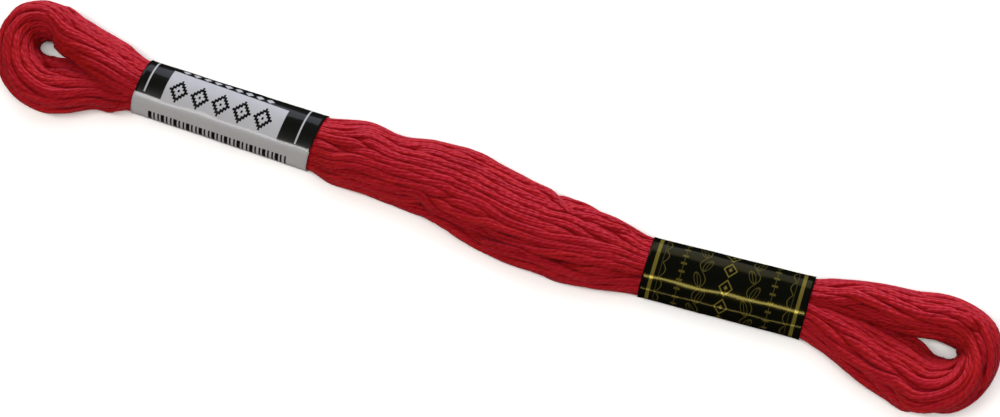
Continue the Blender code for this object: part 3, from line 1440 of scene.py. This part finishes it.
    def branch(self, eye: np.ndarray, xs: np.ndarray, half: Half) -> np.ndarray:
        """One branch of an eye's strand at given places along the skein.

        Args:
            eye: Smooth sections round the eye, far branch first.
            xs: The places.
            half: Which branch.

        Returns:
            Rows of (y, half width, bottom, top, lean).
        """
        tip = int(np.argmax(np.abs(eye[:, 0])))
        rows = eye[: tip + 1] if half is Half.FAR else eye[tip:]
        along = np.gradient(rows[:, :2], axis=0)
        slant = np.linalg.norm(along, axis=1) / np.maximum(np.abs(along[:, 0]), TINY)
        order = np.argsort(rows[:, 0])
        rows, slant = rows[order], np.minimum(slant[order], self.steepest)
        found = [np.interp(xs, rows[:, 0], rows[:, c]) for c in range(1, 6)]
        found[1] = found[1] * np.interp(xs, rows[:, 0], slant)
        return np.stack(found, 1)

    def fan_rows(
        self, eye: np.ndarray, centre: tuple[float, float], start: float
    ) -> tuple[np.ndarray, np.ndarray]:
        """The planes that fan out round the end of an eye.

        Args:
            eye: Smooth sections round the eye.
            centre: The point that the planes share.
            start: The angle before the first plane; the last stops half a turn on.

        Returns:
            Rows of (x, y, half width, bottom, top, lean), and each plane's outward direction.
        """
        at = math.pi * (np.arange(self.fan) + 1) / (self.fan + 1)
        away = eye[:, :2] - np.array(centre)
        turned = np.arctan2(away[:, 1], away[:, 0]) - start + self.fan_slack
        turned = np.mod(turned, math.tau) - self.fan_slack
        order = np.argsort(turned)
        radius = np.interp(at, turned[order], np.linalg.norm(away, axis=1)[order])
        others = [np.interp(at, turned[order], eye[order, c]) for c in range(2, 6)]
        out = np.stack([np.cos(at + start), np.sin(at + start)], 1)
        return np.column_stack([np.array(centre) + out * radius[:, None], *others]), out

    def pattern(self, at: Stations) -> tuple[np.ndarray, np.ndarray]:
        """Where each turn starts out in the half hank's section, as it wanders round the ring.

        Args:
            at: The planes.

        Returns:
            Two arrays, planes by turns, of places across and up in a unit disc.
        """
        random = np.random.default_rng(self.seed)
        index = np.arange(self.turns) + 0.5
        radius = np.sqrt(index / self.turns)
        golden = index * math.pi * (3.0 - math.sqrt(5.0))  # the golden angle, turn after turn
        angle = at.roll[:, None] + golden[None, :]
        across, up = radius * np.cos(angle), radius * np.sin(angle)
        for wave in range(1, self.waves + 1):
            for place in (across, up):
                phase = random.uniform(0.0, math.tau, self.turns)
                size = random.normal(0.0, self.wander / math.sqrt(wave), self.turns)
                place += size * np.cos(wave * at.share + phase)
        far_out = np.maximum(np.hypot(across, up), 1.0)
        return across / far_out, up / far_out

    def push_apart(
        self, y: np.ndarray, z: np.ndarray, width: np.ndarray, ties: np.ndarray
    ) -> tuple[np.ndarray, np.ndarray]:
        """How far each thread in each plane moves to clear the threads that it overlaps.

        Args:
            y: Places across, planes by threads.
            z: Heights, planes by threads.
            width: How close two threads may come in each plane.
            ties: How much of that each pair of threads keeps, threads by threads.

        Returns:
            The moves across and up.
        """
        move_y, move_z = np.empty_like(y), np.empty_like(z)
        give = np.float32(self.give)
        for first in range(0, len(y), self.chunk):
            some = slice(first, first + self.chunk)
            dy = y[some, :, None] - y[some, None, :]
            dz = z[some, :, None] - z[some, None, :]
            apart = np.sqrt(dy * dy + dz * dz) + np.float32(TINY)
            share = np.maximum(width[some, None, None] * ties - apart, 0.0) / apart * give
            move_y[some] = (dy * share).sum(2)
            move_z[some] = (dz * share).sum(2)
        return move_y, move_z

    @staticmethod
    def smoothed(field: np.ndarray, passes: int) -> np.ndarray:
        """Averages a field along the closed ring.

        Args:
            field: Values of planes by turns.
            passes: How many times each value is averaged with its neighbours.

        Returns:
            The smoothed field.
        """
        for _ in range(passes):
            field = 0.25 * np.roll(field, 1, axis=0) + 0.5 * field + 0.25 * np.roll(field, -1, axis=0)
        return field

    def settle(
        self, at: Stations, goal_p: np.ndarray, goal_z: np.ndarray, lay: Lay
    ) -> tuple[np.ndarray, np.ndarray]:
        """Pushes threads apart until they lie together as wound floss does.

        Args:
            at: The planes.
            goal_p: Where the threads would lie across each plane, planes by threads.
            goal_z: Their heights there.
            lay: The threads' sizes, and how they are worked.

        Returns:
            Places along each plane's outward direction, from its origin, and heights.
        """
        threads = goal_p.shape[1]
        radius = lay.radius[:, None]
        reach_p = np.maximum(at.half_width[:, None] - radius, self.least_room)
        reach_z = np.maximum((at.high - at.low)[:, None] / 2 - radius, self.least_room)
        middle = ((at.high + at.low) / 2)[:, None]
        lean = at.lean[:, None]
        p, z = goal_p.copy(), goal_z.copy()
        fans = np.setdiff1d(np.arange(len(at.origin)), np.concatenate([at.far, at.near]))
        far_y, near_y = at.origin[at.far, 1][:, None], at.origin[at.near, 1][:, None]
        body_y, body_half, body_low, body_high, held = (at.body[:, c][:, None] for c in range(5))
        body_reach_y = np.maximum(body_half - radius[at.far], self.least_room)
        body_reach_z = np.maximum((body_high - body_low) / 2 - radius[at.far], self.least_room)
        body_z = (body_high + body_low) / 2
        loose = np.ones((len(at.origin), 1))
        loose[at.far] = loose[at.near] = 1.0 - held
        contact = lay.contact.astype(np.float32)
        ties = lay.ties.astype(np.float32)
        both_ties = np.block([[ties, np.ones_like(ties)], [np.ones_like(ties), ties]])
        for turn in range(lay.rounds):
            both_y = np.hstack([far_y + p[at.far], near_y - p[at.near]])
            both_z = np.hstack([z[at.far], z[at.near]])
            found = both_y.astype(np.float32), both_z.astype(np.float32)
            dy, dz = self.push_apart(*found, contact[at.far], both_ties)
            both_y, both_z = both_y + dy, both_z + dz
            beyond = np.hypot((both_y - body_y) / body_reach_y, (both_z - body_z) / body_reach_z)
            keep = 1.0 - held * (1.0 - 1.0 / np.maximum(beyond, 1.0))
            both_y = body_y + (both_y - body_y) * keep
            both_z = body_z + (both_z - body_z) * keep
            p[at.far] = both_y[:, :threads] - far_y
            p[at.near] = near_y - both_y[:, threads:]
            z[at.far], z[at.near] = both_z[:, :threads], both_z[:, threads:]
            found = p[fans].astype(np.float32), z[fans].astype(np.float32)
            dy, dz = self.push_apart(*found, contact[fans], ties)
            p[fans] += dy
            z[fans] += dz
            p += lay.pull * (goal_p - p)
            z += lay.pull * (goal_z - z)
            upright = p - lean * (z - middle)
            beyond = np.hypot(upright / reach_p, (z - middle) / reach_z)
            keep = 1.0 - loose * (1.0 - 1.0 / np.maximum(beyond, 1.0))
            z = middle + (z - middle) * keep
            p = upright * keep + lean * (z - middle)
            z = np.maximum(z, radius)
            passes = lay.passes if turn < lay.rounds - self.last_rounds else 1
            p = goal_p + self.smoothed(p - goal_p, passes)
            z = goal_z + self.smoothed(z - goal_z, passes)
        return p, np.maximum(z, radius)

    def lay_turns(self, at: Stations) -> tuple[np.ndarray, np.ndarray]:
        """Lays the turns as whole threads.

        Args:
            at: The planes.

        Returns:
            The turns' places across each plane and their heights, planes by turns.
        """
        across, up = self.pattern(at)
        radius = at.thread / 2
        middle = ((at.high + at.low) / 2)[:, None]
        goal_z = middle + up * self.fill * ((at.high - at.low) / 2 - radius)[:, None]
        goal_p = across * self.fill * (at.half_width - radius)[:, None]
        goal_p = goal_p + at.lean[:, None] * (goal_z - middle)
        ties = np.ones((self.turns, self.turns))
        lay = Lay(contact=at.thread, radius=radius, rounds=240, pull=0.0, passes=3, ties=ties)
        return self.settle(at, goal_p, goal_z, lay)

    def lay_plies(
        self, at: Stations, p: np.ndarray, z: np.ndarray
    ) -> tuple[np.ndarray, np.ndarray, np.ndarray]:
        """Opens each turn into its plies, which twist round each other and meet those of other turns.

        Args:
            at: The planes.
            p: The turns' places across each plane.
            z: Their heights.

        Returns:
            The plies' places, their heights, and their width at each plane.
        """
        random = np.random.default_rng(self.seed + 1)
        count = len(at.origin)
        share = at.share[:, :, None]
        lays = round(2.0 * (self.eye_right[0] - self.eye_left[0]) / self.lay_pitch)
        shape = (1, self.turns, self.plies)
        angle = lays * share + math.tau * np.arange(self.plies) / self.plies
        angle = angle + random.uniform(0.0, math.tau, (1, self.turns, 1))
        out = np.full(shape, self.ply_out)
        for wave in self.lay_waves:
            own, shared, outwards = (
                np.sin(wave * share + random.uniform(0.0, math.tau, size))
                for size in (shape, (1, self.turns, 1), shape)
            )
            angle = angle + self.own_sway * own
            angle = angle + self.shared_sway * shared
            out = out + self.breath * outwards
        reach = out * (at.thread / self.squash / 2)[:, None, None]
        goal_p = (p[:, :, None] + reach * np.cos(angle)).reshape(count, -1)
        goal_z = (z[:, :, None] + reach * np.sin(angle)).reshape(count, -1)
        width = at.thread / self.squash * self.ply_share
        goal_z = np.maximum(goal_z, width[:, None] / 2)
        turn = np.repeat(np.arange(self.turns), self.plies)
        ties = np.where(turn[:, None] == turn[None, :], self.kinship, 1.0)
        contact = width * self.ply_contact
        lay = Lay(contact=contact, radius=width / 2, rounds=36, pull=0.12, passes=2, ties=ties)
        p, z = self.settle(at, goal_p, goal_z, lay)
        return p, z, width

    def tubes(self, name: str, lines: np.ndarray, radius: np.ndarray) -> bpy.types.Mesh:
        """The mesh of a few turns' plies.

        Args:
            name: The mesh's name.
            lines: The plies' points in millimetres, plies by planes by three.
            radius: Their radius at each point, plies by planes.

        Returns:
            The mesh, ring after ring along each ply.
        """
        curve = bpy.data.curves.new(name, "CURVE")
        curve.dimensions = "3D"
        curve.bevel_depth = 1.0
        curve.bevel_resolution = self.sides // 2 - 2
        curve.twist_mode = "MINIMUM"
        count = lines.shape[1]
        for line, thick in zip(lines, radius):
            spline = curve.splines.new("POLY")
            spline.points.add(count - 1)
            spline.use_cyclic_u = True
            spline.points.foreach_set("co", np.column_stack([line * MM, np.ones(count)]).ravel())
            spline.points.foreach_set("radius", thick * MM)
        helper = link(bpy.data.objects.new(name, curve))
        graph = bpy.context.evaluated_depsgraph_get()
        mesh = bpy.data.meshes.new_from_object(helper.evaluated_get(graph))
        bpy.data.objects.remove(helper)
        return mesh

    def map_lay(self, mesh: bpy.types.Mesh, lines: np.ndarray, first: int) -> None:
        """Gives the tubes a map of the floss's lay and one of strips for flat pictures.

        Args:
            mesh: The tubes.
            lines: Their middle lines, in millimetres.
            first: The number of their first ply.
        """
        plies, count = lines.shape[:2]
        corners = np.empty(len(mesh.loops), np.int32)
        mesh.loops.foreach_get("vertex_index", corners)
        corners = corners.reshape(-1, 4)
        ply, within = corners // (count * self.sides), corners % (count * self.sides)
        ring, side = within // self.sides, within % self.sides
        ring = np.where((np.ptp(ring, axis=1) > 1)[:, None] & (ring == 0), count, ring)
        side = np.where((np.ptp(side, axis=1) > 1)[:, None] & (side == 0), self.sides, side)
        lengths = np.linalg.norm(np.diff(lines, axis=1, append=lines[:, :1]), axis=2)
        along = np.concatenate([np.zeros((plies, 1)), np.cumsum(lengths, axis=1)], axis=1)
        lay = mesh.uv_layers.new(name="lay_map")
        u = along[ply, ring] + PLY_SHIFT * (ply + first)
        lay.data.foreach_set("uv", np.stack([u, side / self.sides], 2).ravel())
        rows_per_ply, margin = 2, 0.06
        span = math.ceil(count / rows_per_ply)
        row = ring.min(axis=1)[:, None] // span
        within_row = margin + (1.0 - 2.0 * margin) * side / self.sides
        strip = (ply * rows_per_ply + row + within_row) / (plies * rows_per_ply)
        flat = mesh.uv_layers.new(name="OFBake")
        flat.data.foreach_set("uv", np.stack([(ring - row * span) / span, strip], 2).ravel())

    def build(self, material: bpy.types.Material) -> list[bpy.types.Object]:
        """Makes the turns, a few to a piece.

        Args:
            material: The floss's finish.

        Returns:
            The pieces.
        """
        at = self.stations()
        p, z, width = self.lay_plies(at, *self.lay_turns(at))
        random = np.random.default_rng(self.seed + 2)
        thick = np.zeros_like(z)
        for wave in self.thick_waves:
            phase = random.uniform(0.0, math.tau, (1, z.shape[1]))
            thick += self.thick_wave * np.sin(wave * at.share + phase)
        radius = (1.0 + thick) * width[:, None] / 2
        z = np.maximum(z, radius)
        plan = at.origin[:, None, :] + at.out[:, None, :] * p[:, :, None]
        lines = np.concatenate([plan, z[:, :, None]], axis=2).transpose(1, 0, 2)
        per_group = len(lines) // self.groups
        pieces = []
        for group in range(self.groups):
            chosen = slice(group * per_group, (group + 1) * per_group)
            name = f"floss_turns_{group + 1}"
            mesh = self.tubes(name, lines[chosen], radius.T[chosen])
            self.map_lay(mesh, lines[chosen], group * per_group)
            mesh.shade_smooth()
            mesh.materials.append(material)
            piece = link(bpy.data.objects.new(name, mesh))
            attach(piece, "root")
            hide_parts("floss_hank")
            pieces.append(piece)
        return pieces


# ---------------------------------------------------------------------------------------------
# The paper bands


class Crease(NamedTuple):
    """A soft crease along a band: how far round from the top it lies, its height and its reach."""

    place: float
    height: float
    reach: float


@dataclass
class PaperBand:
    """A printed paper strip, laid flat, then wrapped round the hank and lapped under it.

    Attributes:
        name: The piece's name.
        node: The CAD solid that it stands for.
        slot: The record's material slot; it is not used.
        plan: Where it sits.
        creases: Its soft creases.
        crease_power: How sharply a crease falls off.
        waves: How many slow waves the paper has.
        wave: How high each of them is.
        wave_along: How far the first wave goes over the strip's whole width, in radians.
        wave_round: How much faster each wave goes round than the one before, in radians a millimetre.
        rim_lift: How far the two edges stand off.
        rim_reach: How far in from an edge that tells.
        seam: How far past the middle of its underside it starts.
        lap: How far its end laps over its start.
        lap_lift: How far the lap is lifted, as a share of the paper's thickness.
        lap_ramp: Where the paper starts to rise to the lap and has risen, from its own start.
        lap_fall: Over how far the paper comes down to the table beyond the lap.
        first_angle: The angle at which the oval's table starts, in degrees.
        last_angle: The angle at which it ends.
        angle_step: How far apart its angles are.
        margin: The margin of its map for flat pictures.
        cells_along: How many cells its mesh has along the skein.
        cells_round: How many cells its mesh has all the way round.
        seed: The start of its random draws.
    """

    name: str
    node: str
    slot: str
    plan: BandPlan
    creases: tuple[Crease, ...]
    crease_power: float = 1.5
    waves: int = 4
    wave: float = 0.010
    wave_along: float = 5.1
    wave_round: float = 0.9
    rim_lift: float = 0.06
    rim_reach: float = 0.5
    seam: float = 2.2
    lap: float = 3.0
    lap_lift: float = 1.1
    lap_ramp: tuple[float, float] = (-1.2, 0.2)
    lap_fall: float = 1.0
    first_angle: float = 470.0
    last_angle: float = -290.0
    angle_step: float = 0.5
    margin: float = 0.01
    cells_along: int = 72
    cells_round: int = 150
    seed: int = 3

    def oval(self) -> tuple[np.ndarray, np.ndarray]:
        """Measures the way round the band's oval, near side first.

        Returns:
            Matching tables of the way round from the top, and of the angle there.
        """
        count = 1 + round((self.first_angle - self.last_angle) / self.angle_step)
        angle = np.radians(np.linspace(self.first_angle, self.last_angle, count))
        half = (self.plan.start_half_width + self.plan.end_half_width) / 2
        high = (self.plan.start_height + self.plan.end_height) / 4
        points = np.stack([half * np.cos(angle), high * np.sin(angle)], 1)
        way = np.concatenate([[0.0], np.cumsum(np.linalg.norm(np.diff(points, axis=0), axis=1))])
        return way - np.interp(-0.5 * math.pi, -angle, way), angle

    def build(self, printed: bpy.types.Material, plain: bpy.types.Material) -> bpy.types.Object:
        """Makes the band.

        Args:
            printed: The finish of its outside.
            plain: The finish of its inside.

        Returns:
            The piece.
        """
        length = self.plan.end - self.plan.start
        way, angle = self.oval()
        round_once = float(np.interp(1.5 * math.pi, -angle, way) - np.interp(-0.5 * math.pi, -angle, way))
        begin = -0.5 * round_once - self.seam
        ends = (begin, begin + round_once)
        bm = bmesh.new()
        bmesh.ops.create_grid(bm, x_segments=self.cells_along, y_segments=self.cells_round, size=0.5)
        print_map = bm.loops.layers.uv.new("print_map")
        bake_map = bm.loops.layers.uv.new("OFBake")
        filled = 1.0 - 2.0 * self.margin
        for face in bm.faces:
            for loop in face.loops:
                x, y = loop.vert.co.x + 0.5, loop.vert.co.y + 0.5
                loop[print_map].uv = (x * length, begin + y * (round_once + self.lap))
                loop[bake_map].uv = (self.margin + filled * x, self.margin + filled * y)
        random = np.random.default_rng(self.seed)
        phases = random.uniform(0.0, math.tau, (2, self.waves))
        for vert in bm.verts:
            x = vert.co.x + 0.5
            v = begin + (vert.co.y + 0.5) * (round_once + self.lap)
            vert.co = Vector(self.wrapped(x, v, ends, (way, angle), phases)) * MM
        mesh = bpy.data.meshes.new(self.name)
        bmesh.ops.reverse_faces(bm, faces=bm.faces)
        bm.to_mesh(mesh)
        bm.free()
        mesh.shade_smooth()
        mesh.materials.append(printed)
        mesh.materials.append(plain)
        piece = link(bpy.data.objects.new(self.name, mesh))
        wall = piece.modifiers.new("paper", "SOLIDIFY")
        wall.thickness = PAPER * MM
        wall.offset = -1.0
        wall.use_even_offset = True
        wall.material_offset = 1
        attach(piece, "root")
        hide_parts(self.node)
        return piece

    def wrapped(
        self,
        share: float,
        v: float,
        ends: tuple[float, float],
        oval: tuple[np.ndarray, np.ndarray],
        phases: np.ndarray,
    ) -> tuple[float, float, float]:
        """Where a point of the flat strip lies once it is wrapped.

        Args:
            share: How far along the strip's width, from 0 to 1.
            v: How far round from the top, in millimetres.
            ends: Where the strip begins, and where it meets its own start.
            oval: The oval's tables of the way round and of angles.
            phases: Where the paper's slow waves start.

        Returns:
            The point, in millimetres.
        """
        plan, (begin, lap_start) = self.plan, ends
        turned = float(np.interp(v, *oval))
        middle, half, height = plan.at(share)
        high = height / 2
        x = plan.start + share * (plan.end - plan.start)
        lift = self.lift(share, v, lap_start, phases)
        normal = Vector((math.cos(turned) / half, math.sin(turned) / high)).normalized()
        across = -half * math.cos(turned) - lift * normal.x
        up = high * math.sin(turned) + lift * normal.y
        tilt = math.radians(plan.start_turn * (1.0 - share))
        y = middle + across * math.cos(tilt) + up * math.sin(tilt)
        x += plan.slip * (y - middle)
        z = high + up * math.cos(tilt) - across * math.sin(tilt)
        lap_end = begin + self.lap
        on_table = float(ease(np.array(v), lap_end, lap_end + self.lap_fall))
        return x, y, max(z, PAPER * self.lap_lift * (1.0 - on_table))

    def lift(self, share: float, v: float, lap_start: float, phases: np.ndarray) -> float:
        """How far a point of the strip stands off the plain oval.

        Args:
            share: How far along the strip's width, from 0 to 1.
            v: How far round from the top, in millimetres.
            lap_start: Where the strip meets its own start.
            phases: Where the paper's slow waves start.

        Returns:
            The lift, in millimetres.
        """
        ramp = [lap_start + offset for offset in self.lap_ramp]
        lift = PAPER * self.lap_lift * float(ease(np.array(v), *ramp))
        for crease in self.creases:
            away = abs((v - crease.place) / crease.reach)
            lift += crease.height * math.exp(-(away**self.crease_power))
        for k, (first, second) in enumerate(phases.T):
            along = (k + 1) * self.wave_along * share
            round_it = (k - (self.waves - 1) / 2) * self.wave_round * v
            lift += self.wave * math.sin(first + along + round_it + second)
        edge = min(share, 1.0 - share) * (self.plan.end - self.plan.start)
        return lift + self.rim_lift * math.exp(-edge / self.rim_reach)


# ---------------------------------------------------------------------------------------------
# The studio


class Lit(Enum):
    """What a lamp lights: everything, or only the floss, the bands or the floor."""

    ALL = "all"
    FLOSS = "floss"
    BANDS = "bands"
    FLOOR = "floor"


@dataclass(frozen=True)
class Lamp:
    """A soft rectangular light, aimed at the skein.

    Attributes:
        name: Its name.
        place: Where its middle hangs, in metres.
        size: Its two sides, in metres.
        power: How strong it is, in watts.
        colour: The colour of its light.
        lit: What it lights.
        mirrored: Whether glossy things mirror it.
    """

    name: str
    place: tuple[float, float, float]
    size: tuple[float, float]
    power: float
    colour: Colour
    lit: Lit = Lit.ALL
    mirrored: bool = True

    def build(self, receivers: dict[Lit, bpy.types.Collection]) -> None:
        """Hangs the light.

        Args:
            receivers: The objects that a lamp lights, where it does not light everything.
        """
        data = bpy.data.lights.new(self.name, "AREA")
        data.shape = "RECTANGLE"
        data.size, data.size_y = self.size
        data.energy = self.power
        data.color = self.colour
        lamp = link(bpy.data.objects.new(self.name, data))
        lamp.location = self.place
        lamp.rotation_euler = (-Vector(self.place)).to_track_quat("-Z", "Y").to_euler()
        lamp.visible_glossy = self.mirrored
        lamp.light_linking.receiver_collection = receivers.get(self.lit)


@dataclass(frozen=True)
class Studio:
    """The floor, the lights and the camera.

    Attributes:
        azimuth: How far the camera stands round the skein from its near side, in degrees.
        elevation: How high it stands above the floor, in degrees.
        distance: How far it is from the target, in metres.
        target: The point that it looks at, in metres.
        lens: The length of its lens, in millimetres.
        sensor: The width of its sensor, in millimetres.
        clip: The nearest and the farthest that it sees, in metres.
        floor_half: Half the floor's side, in metres.
        floor_colour: The floor's colour.
        floor_roughness: How rough the floor is.
        ambient: How strong the soft light from all round is.
        ambient_colour: The colour of that light.
        lamps: The lights.
    """

    azimuth: float = 16.7
    elevation: float = 68.0
    distance: float = 0.56
    target: tuple[float, float, float] = (1.6 * MM, 0.45 * MM, 4.4 * MM)
    lens: float = 121.2
    sensor: float = 36.0
    clip: tuple[float, float] = (0.01, 10.0)
    floor_half: float = 1.5
    floor_colour: Colour = (0.9, 0.9, 0.9)
    floor_roughness: float = 0.9
    ambient: float = 0.14
    ambient_colour: Colour = (0.97, 0.985, 1.0)
    lamps: tuple[Lamp, ...] = (
        Lamp("window", (-0.53, 0.98, 0.42), (1.2, 0.72), 3.3, (0.82, 0.85, 1.0)),
        Lamp("far_softbox", (-0.10, 1.05, 0.42), (1.6, 0.7), 25.0, (1.0, 0.86, 0.98), Lit.FLOSS),
        Lamp("paper_softbox", (-0.10, 0.90, 0.66), (1.6, 0.7), 24.0, (0.80, 0.86, 1.0), Lit.BANDS, False),
        Lamp("floor_softbox", (0.03, 0.0, 1.10), (1.8, 1.5), 9.8, (1.0, 1.0, 1.0), Lit.FLOOR, False),
        Lamp("ceiling_strip", (-0.02, -0.36, 1.02), (1.4, 0.14), 10.0, (1.0, 0.97, 0.92)),
        Lamp("low_strip", (0.0, -0.95, 0.34), (1.5, 0.04), 2.1, (1.0, 0.95, 0.90)),
    )

    def build(self, floss: list[bpy.types.Object], bands: list[bpy.types.Object]) -> None:
        """Sets up the whole studio.

        Args:
            floss: The pieces of floss.
            bands: The paper bands.
        """
        self.camera()
        receivers = {Lit.FLOSS: floss, Lit.BANDS: bands, Lit.FLOOR: [self.floor()]}
        receivers = {lit: self.collected(lit, things) for lit, things in receivers.items()}
        for lamp in self.lamps:
            lamp.build(receivers)
        world = bpy.data.worlds.new("studio")
        world.use_nodes = True
        light = world.node_tree.nodes["Background"].inputs
        light["Color"].default_value = (*self.ambient_colour, 1.0)
        light["Strength"].default_value = self.ambient
        world.cycles_visibility.glossy = False
        bpy.context.scene.world = world
        bpy.context.scene.view_settings.view_transform = "Standard"

    @staticmethod
    def collected(lit: Lit, things: list[bpy.types.Object]) -> bpy.types.Collection:
        """Gathers what some of the lamps light.

        Args:
            lit: Which things they are.
            things: The things.

        Returns:
            A collection of them, which is not in the scene itself.
        """
        gathered = bpy.data.collections.new(f"lit_{lit.value}")
        for thing in things:
            gathered.objects.link(thing)
        return gathered

    def camera(self) -> None:
        """Places the camera above the near side, turned along the skein."""
        azimuth, elevation = math.radians(self.azimuth), math.radians(self.elevation)
        level = math.cos(elevation)
        back = Vector((math.sin(azimuth) * level, -math.cos(azimuth) * level, math.sin(elevation)))
        data = bpy.data.cameras.new("camera")
        data.lens = self.lens
        data.sensor_width = self.sensor
        data.clip_start, data.clip_end = self.clip
        camera = link(bpy.data.objects.new("camera", data))
        camera.location = Vector(self.target) + back * self.distance
        camera.rotation_euler = (-back).to_track_quat("-Z", "Y").to_euler()
        bpy.context.scene.camera = camera

    def floor(self) -> bpy.types.Object:
        """Lays a plain pale floor.

        Returns:
            The floor.
        """
        bm = bmesh.new()
        bmesh.ops.create_grid(bm, x_segments=1, y_segments=1, size=self.floor_half)
        mesh = bpy.data.meshes.new("floor")
        bm.to_mesh(mesh)
        bm.free()
        pale, graph, shader = new_material("floor_pale")
        graph.feed(shader, {"Base Color": self.floor_colour, "Roughness": self.floor_roughness})
        mesh.materials.append(pale)
        floor = link(bpy.data.objects.new("floor", mesh))
        floor.visible_glossy = False
        return floor


def main() -> None:
    """Builds the skein, piece by piece, in its studio."""
    logging.basicConfig(level=logging.INFO)
    floss = FlossHank().build(FlossFinish().material())
    groups = PrintGroups()
    bare = BarePaper().material()
    number_band = PaperBand(
        name="number_band_paper",
        node="number_band",
        slot="number_band_paper",
        plan=NUMBER_BAND,
        creases=(Crease(3.7, 0.33, 1.3), Crease(-4.2, 0.04, 0.6)),
    )
    makers_band = PaperBand(
        name="makers_band_paper",
        node="makers_band",
        slot="makers_band_paper",
        plan=MAKERS_BAND,
        creases=(Crease(2.6, 0.015, 0.9), Crease(5.6, 0.02, 0.5), Crease(-4.0, 0.03, 0.6)),
        seed=5,
    )
    bands = [
        number_band.build(NumberPaper(groups).material(), bare),
        makers_band.build(MakersPaper(groups).material(), bare),
    ]
    for piece in (*floss, *bands):
        LOG.info("%s: %d faces", piece.name, len(piece.data.polygons))
    Studio().build(floss, bands)


if __name__ == "__main__":
    main()
